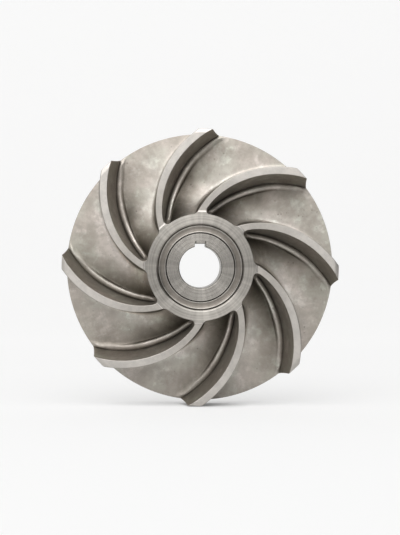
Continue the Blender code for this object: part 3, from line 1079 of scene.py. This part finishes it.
def white_paper():
    """Paper with a glow of its own: one strength for the camera, a weaker one for what the metal mirrors."""
    surface, tree, shader = new_material("white_paper")
    shader.inputs["Base Color"].default_value = (0.36, 0.36, 0.358, 1.0)
    shader.inputs["Roughness"].default_value = 0.9
    shader.inputs["Specular IOR Level"].default_value = 0.1
    shader.inputs["Emission Color"].default_value = (1.0, 1.0, 1.0, 1.0)
    seen = tree.nodes.new("ShaderNodeLightPath").outputs["Is Camera Ray"]
    spot = tree.nodes.new("ShaderNodeSeparateXYZ")
    tree.links.new(tree.nodes.new("ShaderNodeTexCoord").outputs["Object"], spot.inputs[0])
    behind = ramp(tree, spot.outputs["Y"], -0.7, 1.1, smooth=False)
    glow = plus(tree, times(tree, behind, SEEN_RISE), SEEN_GLOW)
    # Painted contact shadow: occlusion dims the glow close to the part.
    openness = tree.nodes.new("ShaderNodeAmbientOcclusion")
    openness.samples = 8
    openness.inputs["Distance"].default_value = SHADE_REACH
    glow = times(tree, glow, maths(tree, "POWER", openness.outputs["AO"], SHADE_POWER))
    mirrored = plus(tree, times(tree, behind, MIRRORED_RISE), MIRRORED_GLOW)
    glow = plus(tree, times(tree, seen, maths(tree, "SUBTRACT", glow, mirrored)), mirrored)
    tree.links.new(glow, shader.inputs["Emission Strength"])
    return surface


sheet.data.materials.append(white_paper())
print("paper on the sheet:", sheet.data.materials[0].name)

# %% [markdown]
# A large soft light hangs above and in front, a little to the left, and a weak one fills from above the
# camera. Metal shows mostly what it mirrors, so the room matters as much as the lamps: it is brightest
# behind the camera, a little bright on the left and dark elsewhere, which keeps the hollow sides of the
# vanes dark. Seen directly, it is white.

# %% Lights
AIM = Vector((0.0, -0.03, 0.0))


def soft_light(name, place, size, power):
    """Rectangular light that looks at the middle of the part; the size is width and height in metres."""
    lamp = bpy.data.lights.new(name, "AREA")
    lamp.shape, lamp.size, lamp.size_y = "RECTANGLE", size[0], size[1]
    lamp.energy = power
    thing = bpy.data.objects.new(name, lamp)
    thing.location = place
    thing.rotation_euler = (AIM - Vector(place)).to_track_quat("-Z", "Y").to_euler()
    bpy.context.scene.collection.objects.link(thing)


soft_light("overhead", (-0.1, -0.8, 1.42), (3.2, 1.8), 29.0)
soft_light("front_fill", (-0.2, -1.7, 0.9), (1.6, 1.2), 8.0)
print("lights:", [lamp.name for lamp in bpy.data.lights])

# %% Brightness of the room
LEFT_LIGHT, FRONT_LIGHT, LEAST_LIGHT, CAMERA_WHITE = 0.25, 0.75, 0.05, 0.9
room = bpy.data.worlds.new("room")
room.use_nodes = True
sky = room.node_tree
sky.nodes["Background"].inputs["Color"].default_value = (1.0, 1.0, 1.0, 1.0)
side = sky.nodes.new("ShaderNodeSeparateXYZ")
sky.links.new(sky.nodes.new("ShaderNodeTexCoord").outputs["Generated"], side.inputs[0])
left_part = times(sky, ramp(sky, side.outputs["X"], 0.2, -0.9), LEFT_LIGHT)
off_centre = maths(sky, "ABSOLUTE", plus(sky, side.outputs["X"], 0.13))
front_part = times(sky, ramp(sky, off_centre, 0.7, 0.1), ramp(sky, side.outputs["Y"], -0.2, -0.8))
front_part = times(sky, front_part, FRONT_LIGHT)
room_light = plus(sky, plus(sky, left_part, front_part), LEAST_LIGHT)
seen = sky.nodes.new("ShaderNodeLightPath").outputs["Is Camera Ray"]
extra = times(sky, seen, maths(sky, "SUBTRACT", CAMERA_WHITE, room_light))
sky.links.new(plus(sky, room_light, extra), sky.nodes["Background"].inputs["Strength"])
bpy.context.scene.world = room
bpy.context.scene.view_settings.view_transform = "Standard"
print("world:", room.name)

# %% [markdown]
# The picture was taken from about a metre and a half, almost straight on: a narrow rim of the bore's far
# end shows that the camera stood a little to the left and a little above the axis.

# %% Camera
HUB_FRONT = Vector((0.0, -0.062, 0.0))
AZIMUTH, ELEVATION, DISTANCE = math.radians(-1.2), math.radians(0.5), 1.5
AIM_SHIFT = Vector((-0.00045, 0.0, -0.0001))
lens = bpy.data.cameras.new("camera")
lens.sensor_width, lens.lens = 36.0, 112.5
lens.clip_start, lens.clip_end = 0.05, 20.0
camera = bpy.data.objects.new("camera", lens)
bpy.context.scene.collection.objects.link(camera)
away = Vector((math.sin(AZIMUTH) * math.cos(ELEVATION),
               -math.cos(AZIMUTH) * math.cos(ELEVATION),
               math.sin(ELEVATION)))
camera.location = HUB_FRONT + away * DISTANCE
camera.rotation_euler = (HUB_FRONT + AIM_SHIFT - camera.location).to_track_quat("-Z", "Y").to_euler()
bpy.context.scene.camera = camera
print("camera at:", [round(v, 3) for v in camera.location])
